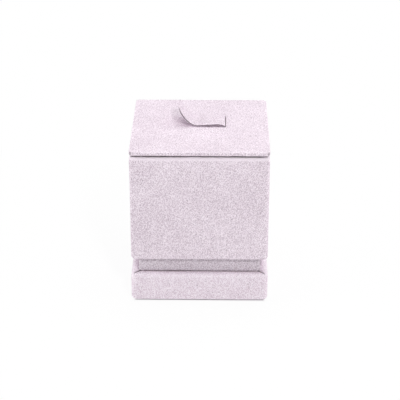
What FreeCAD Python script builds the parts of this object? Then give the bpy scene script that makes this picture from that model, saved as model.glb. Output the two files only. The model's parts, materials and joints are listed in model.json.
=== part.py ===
import FreeCAD, Part
import math
import os

# Ring display box: a small suede-covered box on a plinth, with a lift-off lid that carries a curled ring clip.
# Lengths are in millimetres and angles in degrees. +Z is up, the origin lies under the middle of the plinth,
# and the front of the box faces -Y.

# Outside of the box and the lid
width = 60.0
depth = 60.0

# Suede covering and how it is turned over the edges
suede_thickness = 0.5
turn_in = 8.0
mitre_gap = 0.4
seat_overlap = 4.0

# Plinth
felt_thickness = 0.8
felt_inset = 2.4
felt_corner_radius = 2.0
plinth_overhang = 0.25
base_board_height = 12.0
base_corner_radius = 2.1
base_top_edge_radius = 2.0
base_bottom_edge_radius = 1.2
mitre_end_share = 0.4
board_ease_share = 0.45

# Neck between the plinth and the box
neck_height = 7.2
neck_inset = 3.2
neck_corner_radius = 0.5

# Box
wall_height = 48.4
wall_thickness = 2.5
floor_thickness = 2.5
box_corner_radius = 1.3
rim_edge_radius = 1.5
floor_edge_radius = 1.1

# Lining of the box
lining_thickness = 1.0
lining_drop = 3.0
lining_gap = 0.2

# Lid
lid_board_thickness = 1.2
lid_bottom_edge_radius = 0.8
lid_edge_limit_share = 0.48
plug_board_thickness = 1.6
plug_lining_thickness = 0.6
plug_clearance = 0.4

# Ring clip
clip_width = 12.3
clip_spring_thickness = 0.2
clip_skin_thickness = 0.3
clip_slit_x = 10.65
clip_front_y = -2.4
clip_gap = 0.15
clip_hem = 1.0
clip_tip_corner_radius = 1.5
clip_run = 6.65
clip_run_fall = 3.8
clip_arch_radius = 10.8
clip_arch_lean = 14.0
clip_root_radius = 0.95
clip_root_gap = 0.05
clip_curl_radius = 6.0
clip_curl_turn = 43.8
clip_tip_radius = 15.0
clip_tip_turn = 31.2
slit_clearance = 0.2
tail_length = 8.0
tail_fold_radius = 0.5

# Modelling allowances
cut_overrun = 2.0
edge_tolerance = 0.001

# Levels, from the table upwards
base_low = felt_thickness
base_board_low = base_low + suede_thickness
base_board_high = base_board_low + base_board_height
base_high = base_board_high + suede_thickness
neck_high = base_high + neck_height
wall_low = neck_high + suede_thickness
wall_high = wall_low + wall_height
rim_high = wall_high + suede_thickness
floor_high = wall_low + floor_thickness
lid_board_low = rim_high + suede_thickness
lid_board_high = lid_board_low + lid_board_thickness
lid_high = lid_board_high + suede_thickness
plug_board_low = rim_high - plug_board_thickness
plug_low = plug_board_low - plug_lining_thickness

# How far the faces lie from the outside of the box, the same on all four sides
base_inset = -plinth_overhang
base_board_inset = base_inset + suede_thickness
board_inset = suede_thickness
wall_inset = board_inset + wall_thickness
opening_inset = wall_inset + suede_thickness
well_inset = opening_inset + lining_thickness
neck_board_inset = neck_inset + suede_thickness
neck_seat_inset = neck_inset + seat_overlap
plug_inset = opening_inset + plug_clearance
plug_board_inset = plug_inset + plug_lining_thickness
plug_seat_inset = plug_inset + seat_overlap

# Ring clip, worked out from the values above
clip_thickness = clip_spring_thickness + 2 * clip_skin_thickness


def vector(x, y, z):
    return FreeCAD.Vector(x, y, z)


def block(inset, low, high):
    """A square-cornered block, set in from the outside of the box on all four sides."""
    corner = vector(inset - width / 2, inset - depth / 2, low)
    return Part.makeBox(width - 2 * inset, depth - 2 * inset, high - low, corner)


def upright_block(inset, low, high, corner_radius):
    """A block with round upright corners."""
    shape = block(inset, low, high)
    upright = [edge for edge in shape.Edges if edge.BoundBox.ZLength > edge_tolerance]
    return shape.makeFillet(corner_radius, upright)


def level_edges(shape, level):
    """The edges of a shape that lie flat at one level."""
    boxes = [(edge, edge.BoundBox) for edge in shape.Edges]
    return [edge for edge, box in boxes
            if max(abs(box.ZMin - level), abs(box.ZMax - level)) < edge_tolerance]


def covered_block(inset, low, high, corner_radius, top_radius, bottom_radius):
    """Outside of a covered board: an upright block with round edges above and below."""
    shape = upright_block(inset, low, high, corner_radius)
    shape = shape.makeFillet(top_radius, level_edges(shape, high))
    return shape.makeFillet(bottom_radius, level_edges(shape, low))


def eased_block(inset, low, high, corner_radius, top_radius, bottom_radius):
    """A board whose edges are eased, so that its cover can run round them at these outer radii."""
    shape = upright_block(inset, low, high, corner_radius)
    shape = shape.makeChamfer(board_ease_share * top_radius, level_edges(shape, high))
    return shape.makeChamfer(board_ease_share * bottom_radius, level_edges(shape, low))


def mitres(outer_inset, inner_inset, low, high):
    """Four thin cutters along the corner diagonals, from one inset to past the corners of a deeper one."""
    cutters = []
    for side_x in (-1, 1):
        for side_y in (-1, 1):
            outer = vector(side_x * (width / 2 - outer_inset), side_y * (depth / 2 - outer_inset), low)
            inner = vector(side_x * (width / 2 - inner_inset), side_y * (depth / 2 - inner_inset), low)
            run = inner - outer
            length = run.Length + cut_overrun
            cutter = Part.makeBox(length, mitre_gap, high - low, vector(0, -mitre_gap / 2, 0))
            cutter.rotate(vector(0, 0, 0), vector(0, 0, 1), math.degrees(math.atan2(run.y, run.x)))
            cutter.translate(outer)
            cutters.append(cutter)
    return Part.makeCompound(cutters)


def make_plinth():
    """Covered base board on its felt, with the neck block standing on the turned-over suede."""
    felt = upright_block(felt_inset + base_inset, 0, base_low, felt_corner_radius)
    top_radius = base_top_edge_radius
    bottom_radius = base_bottom_edge_radius
    board = eased_block(
        base_board_inset, base_board_low, base_board_high, base_corner_radius, top_radius, bottom_radius
    )
    corner_radius = base_corner_radius + suede_thickness
    wrap = covered_block(base_inset, base_low, base_high, corner_radius, top_radius, bottom_radius)
    wrap = wrap.cut(board)
    for low, high, window_inset, edge_radius in (
        (base_board_high, base_high + cut_overrun, neck_seat_inset, top_radius),
        (base_low - cut_overrun, base_board_low, base_inset + turn_in, bottom_radius),
    ):
        wrap = wrap.cut(block(window_inset, low, high))
        wrap = wrap.cut(mitres(base_inset + mitre_end_share * edge_radius, window_inset, low, high))
    neck = upright_block(neck_board_inset, base_high, neck_high, neck_corner_radius)
    band = upright_block(neck_inset, base_high, neck_high, neck_corner_radius + suede_thickness).cut(neck)
    seam_corner = vector(-mitre_gap / 2, depth / 2 - neck_board_inset - cut_overrun, base_high)
    seam = Part.makeBox(mitre_gap, suede_thickness + 2 * cut_overrun, neck_height, seam_corner)
    return {
        "base_felt": felt,
        "base_board": board,
        "base_wrap": wrap,
        "neck_board": neck,
        "neck_wrap": band.cut(seam),
    }


def make_walls():
    """Floor and four butt-jointed walls: the front and rear ones run from side to side."""
    envelope = eased_block(board_inset, wall_low, wall_high, box_corner_radius, rim_edge_radius, floor_edge_radius)
    ring = envelope.cut(block(wall_inset, wall_low - cut_overrun, wall_high + cut_overrun))
    inner_x = width / 2 - wall_inset
    inner_y = depth / 2 - wall_inset
    full_height = wall_height + 2 * cut_overrun
    low = wall_low - cut_overrun
    long_zone = Part.makeBox(width, wall_inset, full_height, vector(-width / 2, 0, low))
    front_zone = long_zone.translated(vector(0, -depth / 2, 0))
    rear_zone = long_zone.translated(vector(0, inner_y, 0))
    short_zone = Part.makeBox(wall_inset, 2 * inner_y, full_height, vector(0, -inner_y, low))
    left_zone = short_zone.translated(vector(-width / 2, 0, 0))
    right_zone = short_zone.translated(vector(inner_x, 0, 0))
    walls = {
        "floor_board": block(wall_inset, wall_low, floor_high),
        "front_board": ring.common(front_zone),
        "rear_board": ring.common(rear_zone),
        "left_board": ring.common(left_zone),
        "right_board": ring.common(right_zone),
    }
    return walls, envelope


def make_box_wrap(envelope):
    """One suede cover: outside the walls, over the rim and down inside it, and turned under the floor."""
    corner_radius = box_corner_radius + suede_thickness
    wrap = covered_block(0, neck_high, rim_high, corner_radius, rim_edge_radius, floor_edge_radius)
    wrap = wrap.cut(envelope)
    wrap = wrap.cut(block(opening_inset, wall_high, rim_high + cut_overrun))
    hem = block(wall_inset, rim_high - turn_in, wall_high)
    hem = hem.cut(block(opening_inset, rim_high - turn_in, wall_high))
    wrap = wrap.fuse(hem).removeSplitter()
    wrap = wrap.cut(mitres(mitre_end_share * rim_edge_radius, opening_inset, wall_high, rim_high + cut_overrun))
    under_low = neck_high - cut_overrun
    wrap = wrap.cut(block(neck_seat_inset, under_low, wall_low))
    return wrap.cut(mitres(mitre_end_share * floor_edge_radius, neck_seat_inset, under_low, wall_low))


def make_lining():
    """Lining panels that stand on the floor board inside the turned-down rim, and one that lies between them."""
    high = rim_high - lining_drop
    panel_height = high - floor_high
    half_x = width / 2 - opening_inset
    half_y = depth / 2 - opening_inset
    well_y = depth / 2 - well_inset
    long_panel = Part.makeBox(2 * half_x, lining_thickness, panel_height, vector(-half_x, 0, floor_high))
    short_panel = Part.makeBox(lining_thickness, 2 * well_y, panel_height, vector(0, -well_y, floor_high))
    return {
        "front_lining": long_panel.translated(vector(0, -half_y, 0)),
        "rear_lining": long_panel.translated(vector(0, well_y, 0)),
        "left_lining": short_panel.translated(vector(-half_x, 0, 0)),
        "right_lining": short_panel.translated(vector(half_x - lining_thickness, 0, 0)),
        "floor_lining": block(well_inset + lining_gap, floor_high, floor_high + lining_thickness),
    }


def make_lid():
    """Covered lid card with the clip's slit, and the lined card under it that locates it in the box."""
    board = upright_block(board_inset, lid_board_low, lid_board_high, box_corner_radius)
    bottom_radius = min(lid_bottom_edge_radius, lid_edge_limit_share * (lid_high - rim_high))
    corner_radius = box_corner_radius + suede_thickness
    wrap = covered_block(0, rim_high, lid_high, corner_radius, suede_thickness, bottom_radius).cut(board)
    under_low = rim_high - cut_overrun
    wrap = wrap.cut(block(plug_seat_inset, under_low, lid_board_low))
    wrap = wrap.cut(mitres(mitre_end_share * bottom_radius, plug_seat_inset, under_low, lid_board_low))
    slit_width = clip_thickness + 2 * slit_clearance
    slit_corner = vector(clip_slit_x - slit_width / 2, clip_front_y - slit_clearance, rim_high)
    slit_length = clip_width + 2 * slit_clearance
    slit = Part.makeBox(slit_width, slit_length, lid_high - rim_high + cut_overrun, slit_corner)
    plug = upright_block(plug_inset, plug_low, rim_high, box_corner_radius + plug_lining_thickness)
    plug_board = upright_block(plug_board_inset, plug_board_low, rim_high, box_corner_radius)
    return {
        "lid_board": board.cut(slit),
        "lid_wrap": wrap.cut(slit),
        "lid_plug_board": plug_board,
        "lid_plug_lining": plug.cut(plug_board),
    }


def along(heading):
    """Direction of travel in the XZ plane: 0 runs towards -X, 90 runs upwards."""
    angle = math.radians(heading)
    return vector(-math.cos(angle), 0, math.sin(angle))


def across(heading):
    """Direction square to the travel, on its upper side when the heading is 0."""
    angle = math.radians(heading)
    return vector(math.sin(angle), 0, math.cos(angle))


def strip_side(start, heading, legs, offset):
    """One long edge of a bent strip, as lines and arcs.

    Each leg is (length, 0) for a straight run or (radius, turn) for a bend. Returns the edges, their two ends,
    and the place and heading that the middle of the strip has reached.
    """
    edges = []
    place = start
    first = start + across(heading) * offset
    last = first
    for size, turn in legs:
        if turn == 0:
            place = place + along(heading) * size
            reached = place + across(heading) * offset
            edges.append(Part.LineSegment(last, reached).toShape())
        else:
            reach = math.copysign(size, turn)
            centre = place + across(heading) * reach
            middle = centre + across(heading + turn / 2) * (offset - reach)
            reached = centre + across(heading + turn) * (offset - reach)
            edges.append(Part.Arc(last, middle, reached).toShape())
            place = centre - across(heading + turn) * reach
            heading = heading + turn
        last = reached
    return edges, first, last, place, heading


def bent_strip(start, heading, legs, thickness, inset, round_start=False, round_end=False):
    """A strip of even thickness, bent along its legs and as wide as the clip less an inset on both sides."""
    upper, upper_first, upper_last, end, end_heading = strip_side(start, heading, legs, thickness / 2)
    lower, lower_first, lower_last, end, end_heading = strip_side(start, heading, legs, -thickness / 2)
    caps = (
        (upper_first, lower_first, start - along(heading) * (thickness / 2), round_start),
        (upper_last, lower_last, end + along(end_heading) * (thickness / 2), round_end),
    )
    edges = upper + lower
    for one, other, middle, is_round in caps:
        cap = Part.Arc(one, middle, other) if is_round else Part.LineSegment(one, other)
        edges.append(cap.toShape())
    face = Part.Face(Part.Wire(Part.__sortEdges__(edges)))
    face.translate(vector(0, clip_front_y + inset, 0))
    return face.extrude(vector(0, clip_width - 2 * inset, 0)), end


def tip_outline(tip, inset):
    """Prism along X with the clip's outline from the side of its free end, round at the upper corners."""
    low = lid_high - cut_overrun
    high = tip.z + clip_thickness / 2 - inset
    reach = 2 * (clip_run + clip_curl_radius + clip_tip_radius)
    corner = vector(clip_slit_x - reach, clip_front_y + inset, low)
    prism = Part.makeBox(reach, clip_width - 2 * inset, high - low, corner)
    upper = [edge for edge in prism.Edges
             if edge.BoundBox.XLength > edge_tolerance and abs(edge.BoundBox.ZMin - high) < edge_tolerance]
    return prism.makeFillet(clip_tip_corner_radius - inset, upper)


def make_clip():
    """Springy tongue: it comes up out of the lid's slit, lies along the lid and curls up at its free end.

    It folds over at the slit and arches a little before it lies flat. The strip is parted where it flexes: its
    tail and root stay with the lid, and the tongue turns about the round end that faces them.
    """
    run_low = lid_high + clip_gap + clip_thickness / 2
    fall = math.radians(clip_run_fall)
    lean = math.radians(clip_arch_lean)
    curl_rise = clip_curl_radius * (1 - math.cos(fall))
    root_reach = clip_root_gap + clip_thickness / 2
    root_end_z = run_low + curl_rise + (clip_run + root_reach) * math.sin(fall)
    arch_reach = clip_arch_radius * (math.sin(lean) + math.sin(fall))
    root_end_x = clip_slit_x - clip_root_radius * (1 - math.sin(lean)) - arch_reach
    root_end = vector(root_end_x, 0, root_end_z)
    axis = root_end + along(-clip_run_fall) * root_reach

    tongue_legs = ((clip_run, 0), (clip_curl_radius, clip_curl_turn), (clip_tip_radius, clip_tip_turn))
    tongue, tip = bent_strip(axis, -clip_run_fall, tongue_legs, clip_thickness, 0, True, True)
    tongue = tongue.common(tip_outline(tip, 0))
    hem_turn = math.degrees(clip_hem / clip_tip_radius)
    spring_legs = (
        (clip_run - clip_hem, 0),
        (clip_curl_radius, clip_curl_turn),
        (clip_tip_radius, clip_tip_turn - hem_turn),
    )
    spring_start = axis + along(-clip_run_fall) * clip_hem
    spring, spring_tip = bent_strip(
        spring_start, -clip_run_fall, spring_legs, clip_spring_thickness, clip_hem
    )
    spring = spring.common(tip_outline(tip, clip_hem))

    arch_rise = clip_arch_radius * (math.cos(fall) - math.cos(lean))
    bend_low = root_end_z - arch_rise - clip_root_radius * math.cos(lean)
    bend = (clip_root_radius, clip_arch_lean - 90)
    arch = (clip_arch_radius, -(clip_arch_lean + clip_run_fall))
    fold_z = lid_board_low - clip_spring_thickness / 2
    fold_high = fold_z + tail_fold_radius
    rise = (bend_low - fold_high, 0)
    root_legs = (rise, bend, arch)
    root, root_face = bent_strip(vector(clip_slit_x, 0, fold_high), 90, root_legs, clip_thickness, 0)
    tail_start = vector(clip_slit_x - tail_length, 0, fold_z)
    tail_legs = (
        (tail_length - tail_fold_radius, 0),
        (tail_fold_radius, -90),
        *root_legs,
    )
    tail, tail_end = bent_strip(tail_start, 180, tail_legs, clip_spring_thickness, clip_hem)
    print(f"clip axis x {axis.x:.4f} z {axis.z:.4f}, tip x {tip.x:.3f} z {tip.z:.3f}")
    return {
        "clip_spring_tail": tail,
        "clip_cover_root": root.cut(tail),
        "clip_spring_tongue": spring,
        "clip_cover_tongue": tongue.cut(spring),
    }


def make_nodes():
    """Every piece of the ring display box, by name."""
    walls, envelope = make_walls()
    nodes = make_plinth()
    nodes.update(walls)
    nodes["box_wrap"] = make_box_wrap(envelope)
    nodes.update(make_lining())
    nodes.update(make_lid())
    nodes.update(make_clip())
    return nodes


os.makedirs("parts", exist_ok=True)
for name, shape in make_nodes().items():
    shape.exportStep(f"parts/{name}.step")
    print(f"{name}: solids {len(shape.Solids)}, valid {shape.isValid()}, volume {shape.Volume:.2f}")
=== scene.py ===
"""Looks of the ring display box: suede covers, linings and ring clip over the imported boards, in a studio.

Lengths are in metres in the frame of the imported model, with +Z up and the front of the box towards -Y.
"""

import json
import logging
import math
from dataclasses import dataclass, field, replace
from enum import Enum
from typing import Callable, Optional, Sequence, Union

import bpy
from mathutils import Matrix, Vector, noise


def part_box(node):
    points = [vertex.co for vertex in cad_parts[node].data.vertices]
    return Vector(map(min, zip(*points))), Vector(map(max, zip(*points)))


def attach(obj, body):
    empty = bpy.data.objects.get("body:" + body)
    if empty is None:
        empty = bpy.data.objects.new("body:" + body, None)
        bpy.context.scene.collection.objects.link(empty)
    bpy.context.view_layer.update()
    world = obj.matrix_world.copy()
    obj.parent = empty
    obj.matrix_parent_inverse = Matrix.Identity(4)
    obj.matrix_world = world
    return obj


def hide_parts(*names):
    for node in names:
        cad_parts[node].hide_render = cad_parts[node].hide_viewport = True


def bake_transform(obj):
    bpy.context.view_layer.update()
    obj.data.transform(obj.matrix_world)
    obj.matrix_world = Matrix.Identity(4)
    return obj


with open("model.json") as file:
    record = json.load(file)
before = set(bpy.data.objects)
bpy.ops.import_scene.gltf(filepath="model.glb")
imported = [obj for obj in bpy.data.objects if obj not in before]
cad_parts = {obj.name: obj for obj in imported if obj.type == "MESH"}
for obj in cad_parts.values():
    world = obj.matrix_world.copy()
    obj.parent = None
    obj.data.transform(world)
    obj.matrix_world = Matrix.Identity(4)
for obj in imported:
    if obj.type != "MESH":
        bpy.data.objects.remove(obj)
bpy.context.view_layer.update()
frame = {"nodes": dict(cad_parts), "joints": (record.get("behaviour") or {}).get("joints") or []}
MM = 0.001
LATTICE_TURN = (0.6, 0.4, 0.9)
SHARP_ANGLE = 50.0
FULL_CUT = 1.0
CUT_RUN_OUT = -0.6
INWARD, UPWARD, OUTWARD = 0, 90, 180
LOG = logging.getLogger("ring_display_box")


class Body(Enum):
    """Bodies of the box that a piece can ride on."""

    BOX = "box"
    LID = "lid"
    CLIP = "clip"


class Slot(Enum):
    """Material slots of the record that the pieces made here take."""

    SUEDE = "suede"
    LINING = "lining"
    FELT = "felt"


class Hold(Enum):
    """How a sheet of cloth is held."""

    STRETCHED = "stretched"
    LAID = "laid"


class Seed(Enum):
    """Numbers that set the unevenness of the pieces apart. The panels count on from theirs."""

    BASE = 1.0
    NECK = 2.0
    FELT = 3.0
    CASE = 4.0
    PANELS = 5.0
    LID = 11.0
    PLUG = 12.0
    TONGUE = 13.0


class Side(Enum):
    """Sides of a rounded rectangle, in the order in which a ring runs round them."""

    FRONT = 0
    RIGHT = 1
    REAR = 2
    LEFT = 3


@dataclass(frozen=True)
class Colour:
    """A colour as a screen shows it, each channel from 0 to 255."""

    red: int
    green: int
    blue: int

    def linear(self) -> tuple[float, float, float, float]:
        """The colour in linear light.

        Returns:
            Red, green and blue, with full alpha.
        """
        shares = (channel / 255 for channel in (self.red, self.green, self.blue))
        light = [s / 12.92 if s <= 0.04045 else ((s + 0.055) / 1.055) ** 2.4 for s in shares]
        return (light[0], light[1], light[2], 1.0)


SocketValue = Union[bpy.types.NodeSocket, float, tuple]


class NodeGraph:
    """Adds, sets and links the nodes of one node tree."""

    def __init__(self, tree: bpy.types.NodeTree) -> None:
        """Keep the tree that the nodes go into."""
        self.tree = tree

    def add(self, kind: str, **settings: object) -> bpy.types.Node:
        """Add a node.

        Args:
            kind: Blender's name for the kind of node.
            settings: properties of the node and their values.

        Returns:
            The new node.
        """
        node = self.tree.nodes.new(kind)
        for name, value in settings.items():
            setattr(node, name, value)
        return node

    def feed(self, socket: bpy.types.NodeSocket, value: SocketValue) -> None:
        """Link a socket to another one, or set its value.

        Args:
            socket: socket that is fed.
            value: socket that it is linked to, or its value.
        """
        if isinstance(value, bpy.types.NodeSocket):
            self.tree.links.new(value, socket)
        else:
            socket.default_value = value

    def feed_all(self, node: bpy.types.Node, values: dict[str, SocketValue]) -> None:
        """Feed several named inputs of a node."""
        for name, value in values.items():
            self.feed(node.inputs[name], value)

    def math(self, operation: str, first: SocketValue, second: SocketValue = 0.0) -> bpy.types.NodeSocket:
        """Add a Math node.

        Args:
            operation: Blender's name for the sum.
            first: first number or socket.
            second: second number or socket.

        Returns:
            The socket with the result.
        """
        node = self.add("ShaderNodeMath", operation=operation)
        self.feed(node.inputs[0], first)
        self.feed(node.inputs[1], second)
        return node.outputs[0]

    def scaled(self, value: SocketValue, factor: SocketValue, base: float = 0.0) -> bpy.types.NodeSocket:
        """Multiply a socket by a factor, and add a number where one is given."""
        product = self.math("MULTIPLY", value, factor)
        return self.math("ADD", product, base) if base else product

    def turned_place(self) -> bpy.types.NodeSocket:
        """Place on the object, turned so that no face lies along the lattice of the noise.

        Returns:
            The socket with the place.
        """
        turned = self.add("ShaderNodeMapping", vector_type="POINT")
        place = self.add("ShaderNodeTexCoord").outputs["Object"]
        self.feed_all(turned, {"Vector": place, "Rotation": LATTICE_TURN})
        return turned.outputs["Vector"]

    def noise(self, place: SocketValue, scale: SocketValue, detail: float,
              rough: float) -> bpy.types.NodeSocket:
        """Add a Noise Texture node.

        Args:
            place: socket with the place on the surface.
            scale: spots in a metre.
            detail: number of finer layers.
            rough: how strong the finer layers are.

        Returns:
            The socket with the noise, about 0.5 on average.
        """
        node = self.add("ShaderNodeTexNoise")
        self.feed_all(node, {"Vector": place, "Scale": scale, "Detail": detail, "Roughness": rough})
        return node.outputs[0]

    def stretch(self, value: SocketValue, low: float, high: float) -> bpy.types.NodeSocket:
        """Add a Map Range node that takes low to 0 and high to 1, and stops there.

        Args:
            value: number or socket that is stretched.
            low: value that becomes 0.
            high: value that becomes 1.

        Returns:
            The socket with the result.
        """
        node = self.add("ShaderNodeMapRange", clamp=True)
        self.feed_all(node, {"Value": value, "From Min": low, "From Max": high})
        return node.outputs[0]

    def mix(self, share: SocketValue, first: SocketValue, second: SocketValue) -> bpy.types.NodeSocket:
        """Add a Mix node for colours.

        Args:
            share: how much of the second colour there is.
            first: first colour.
            second: second colour.

        Returns:
            The socket with the mixed colour.
        """
        node = self.add("ShaderNodeMix", data_type="RGBA")
        self.feed(node.inputs[0], share)
        self.feed(node.inputs[6], first)
        self.feed(node.inputs[7], second)
        return node.outputs[2]


class NodeGroup:
    """A shader node group that several finishes place with their own values."""

    def __init__(self, name: str, inputs: Sequence[tuple[str, str]],
                 outputs: Sequence[tuple[str, str]]) -> None:
        """Make the group and its sockets.

        Args:
            name: name of the group.
            inputs: names and kinds of the input sockets.
            outputs: names and kinds of the output sockets.
        """
        self.tree = bpy.data.node_groups.new(name, "ShaderNodeTree")
        for direction, sockets in (("INPUT", inputs), ("OUTPUT", outputs)):
            for socket_name, kind in sockets:
                self.tree.interface.new_socket(socket_name, in_out=direction, socket_type=kind)
        self.graph = NodeGraph(self.tree)
        self.start = self.graph.add("NodeGroupInput")
        self.end = self.graph.add("NodeGroupOutput")

    def taken(self, name: str) -> bpy.types.NodeSocket:
        """The socket inside the group that carries an input."""
        return self.start.outputs[name]

    def give(self, name: str, value: bpy.types.NodeSocket) -> None:
        """Send a socket out of the group."""
        self.graph.feed(self.end.inputs[name], value)

    def place(self, graph: NodeGraph, values: dict[str, SocketValue]) -> bpy.types.Node:
        """Put the group into a material.

        Args:
            graph: nodes of the material.
            values: what its inputs get.

        Returns:
            The group's node in the material.
        """
        node = graph.add("ShaderNodeGroup", node_tree=self.tree)
        graph.feed_all(node, values)
        return node


COLOUR_SOCKET = "NodeSocketColor"
NUMBER_SOCKET = "NodeSocketFloat"


def make_nap_group() -> NodeGroup:
    """Short raised fibres: mottled pile, grain, dark specks, painted highlight on folds, dark cut edges,
    painted seam shade.

    Returns:
        The group, with Color, Roughness and Height.
    """
    group = NodeGroup(
        "raised_nap",
        [("Light", COLOUR_SOCKET), ("Dark", COLOUR_SOCKET), ("Speck", COLOUR_SOCKET),
         ("Cut Edge And Painted Shade", COLOUR_SOCKET), ("Grain Size", NUMBER_SOCKET), ("Speck Share", NUMBER_SOCKET),
         ("Fold Painted Highlight", NUMBER_SOCKET)],
        [("Color", COLOUR_SOCKET), ("Roughness", NUMBER_SOCKET), ("Height", NUMBER_SOCKET)],
    )
    graph = group.graph
    place = graph.turned_place()
    fine = graph.math("DIVIDE", 1.0, group.taken("Grain Size"))
    grain = graph.stretch(graph.noise(place, fine, 0.5, 0.5), 0.4, 0.6)
    hair = graph.noise(place, graph.scaled(fine, 2.5), 2.0, 0.5)
    cloud = graph.stretch(graph.noise(place, graph.scaled(fine, 0.028), 3.0, 0.6), 0.3, 0.7)
    tone = graph.math("ADD", graph.scaled(grain, 0.8), graph.scaled(cloud, 0.2))
    pile = graph.mix(tone, group.taken("Dark"), group.taken("Light"))

    cells = graph.add("ShaderNodeTexVoronoi")
    graph.feed_all(cells, {"Vector": place, "Scale": graph.scaled(fine, 0.5), "Randomness": 0.8})
    chance = graph.add("ShaderNodeSeparateColor")
    graph.feed(chance.inputs[0], cells.outputs["Color"])
    chosen = graph.math("LESS_THAN", chance.outputs[0], group.taken("Speck Share"))
    spot = graph.math("SUBTRACT", 1.0, graph.stretch(cells.outputs["Distance"], 0.05, 0.38))
    speck = graph.scaled(chosen, spot)
    flecked = graph.mix(speck, pile, group.taken("Speck"))

    # painted highlight: bends are mixed towards the light tone, standing in for light caught on rounded
    # edges, partly a lighter opened nap
    fold = graph.add("ShaderNodeAttribute", attribute_name="fold").outputs["Fac"]
    painted_highlight = graph.scaled(fold, group.taken("Fold Painted Highlight"))
    cut = graph.add("ShaderNodeAttribute", attribute_name="cut").outputs["Fac"]
    highlighted = graph.mix(painted_highlight, flecked, group.taken("Light"))
    group.give("Color", graph.mix(cut, highlighted, group.taken("Cut Edge And Painted Shade")))
    group.give("Roughness", graph.scaled(grain, 0.12, 0.82))
    raised = graph.math("ADD", graph.scaled(grain, 0.7), graph.scaled(hair, 0.5))
    group.give("Height", graph.math("SUBTRACT", raised, graph.scaled(speck, 0.5)))
    return group


def make_fibre_group() -> NodeGroup:
    """Pressed fibres of a board: long pale and dark threads that lie flat, with small flecks.

    Returns:
        The group, with Color, Roughness and Height.
    """
    group = NodeGroup(
        "pressed_fibres",
        [("Light", COLOUR_SOCKET), ("Dark", COLOUR_SOCKET), ("Fleck", COLOUR_SOCKET),
         ("Fibre Size", NUMBER_SOCKET), ("Fleck Share", NUMBER_SOCKET)],
        [("Color", COLOUR_SOCKET), ("Roughness", NUMBER_SOCKET), ("Height", NUMBER_SOCKET)],
    )
    graph = group.graph
    place = graph.turned_place()
    fine = graph.math("DIVIDE", 1.0, group.taken("Fibre Size"))
    flat = graph.add("ShaderNodeMapping")
    graph.feed_all(flat, {"Vector": place, "Scale": (0.3, 0.45, 1.0)})
    threads = graph.stretch(graph.noise(flat.outputs[0], fine, 5.0, 0.65), 0.3, 0.7)
    board = graph.mix(threads, group.taken("Dark"), group.taken("Light"))
    flecks = graph.noise(place, graph.scaled(fine, 0.8), 2.0, 0.5)
    mask = graph.math("LESS_THAN", flecks, group.taken("Fleck Share"))
    group.give("Color", graph.mix(graph.scaled(mask, 0.6), board, group.taken("Fleck")))
    group.give("Roughness", graph.scaled(threads, 0.2, 0.7))
    group.give("Height", threads)
    return group


def new_material(name: str) -> tuple[bpy.types.Material, NodeGraph, bpy.types.Node]:
    """Make a material with one principled shader.

    Args:
        name: name of the material.

    Returns:
        The material, its graph and the shader's node.
    """
    material = bpy.data.materials.new(name)
    material.use_nodes = True
    graph = NodeGraph(material.node_tree)
    return material, graph, material.node_tree.nodes["Principled BSDF"]


def add_bump(graph: NodeGraph, shader: bpy.types.Node, height: SocketValue, strength: float,
             depth: float) -> None:
    """Raise the shader's surface by a height.

    Args:
        graph: nodes of the material.
        shader: shader that is bumped.
        height: socket with the height, about 0 to 1.
        strength: share of the full effect.
        depth: how high 1 stands.
    """
    bump = graph.add("ShaderNodeBump")
    graph.feed_all(bump, {"Height": height, "Strength": strength, "Distance": depth})
    graph.feed(shader.inputs["Normal"], bump.outputs["Normal"])


@dataclass(frozen=True)
class NapFinish:
    """Cloth with a raised nap: the suede, the lining or the felt."""

    name: str
    light: Colour
    dark: Colour
    speck: Colour
    cut_edge_and_shade: Colour
    grain_size: float
    speck_share: float
    fold_highlight: float
    sheen: float
    bump_strength: float
    bump_depth: float

    def material(self, nap: NodeGroup) -> bpy.types.Material:
        """Make the finish's material from the shared nap.

        Args:
            nap: the nap.

        Returns:
            The material.
        """
        material, graph, shader = new_material(self.name)
        cloth = nap.place(graph, {
            "Light": self.light.linear(),
            "Dark": self.dark.linear(),
            "Speck": self.speck.linear(),
            "Cut Edge And Painted Shade": self.cut_edge_and_shade.linear(),
            "Grain Size": self.grain_size,
            "Speck Share": self.speck_share,
            "Fold Painted Highlight": self.fold_highlight,
        })
        graph.feed_all(shader, {
            "Base Color": cloth.outputs["Color"],
            "Roughness": cloth.outputs["Roughness"],
            "Specular IOR Level": 0.15,
            "Sheen Weight": self.sheen,
            "Sheen Roughness": 0.45,
            "Sheen Tint": self.light.linear(),
        })
        add_bump(graph, shader, cloth.outputs["Height"], self.bump_strength, self.bump_depth)
        return material


@dataclass(frozen=True)
class BoardFinish:
    """Bare board: fibreboard or greyboard."""

    name: str
    light: Colour
    dark: Colour
    fleck: Colour
    fibre_size: float
    fleck_share: float

    def material(self, fibres: NodeGroup) -> bpy.types.Material:
        """Make the finish's material from the shared fibres.

        Args:
            fibres: the fibres.

        Returns:
            The material.
        """
        material, graph, shader = new_material(self.name)
        board = fibres.place(graph, {
            "Light": self.light.linear(),
            "Dark": self.dark.linear(),
            "Fleck": self.fleck.linear(),
            "Fibre Size": self.fibre_size,
            "Fleck Share": self.fleck_share,
        })
        graph.feed_all(shader, {
            "Base Color": board.outputs["Color"],
            "Roughness": board.outputs["Roughness"],
            "Specular IOR Level": 0.3,
        })
        add_bump(graph, shader, board.outputs["Height"], 0.3, 0.05 * MM)
        return material


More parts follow.
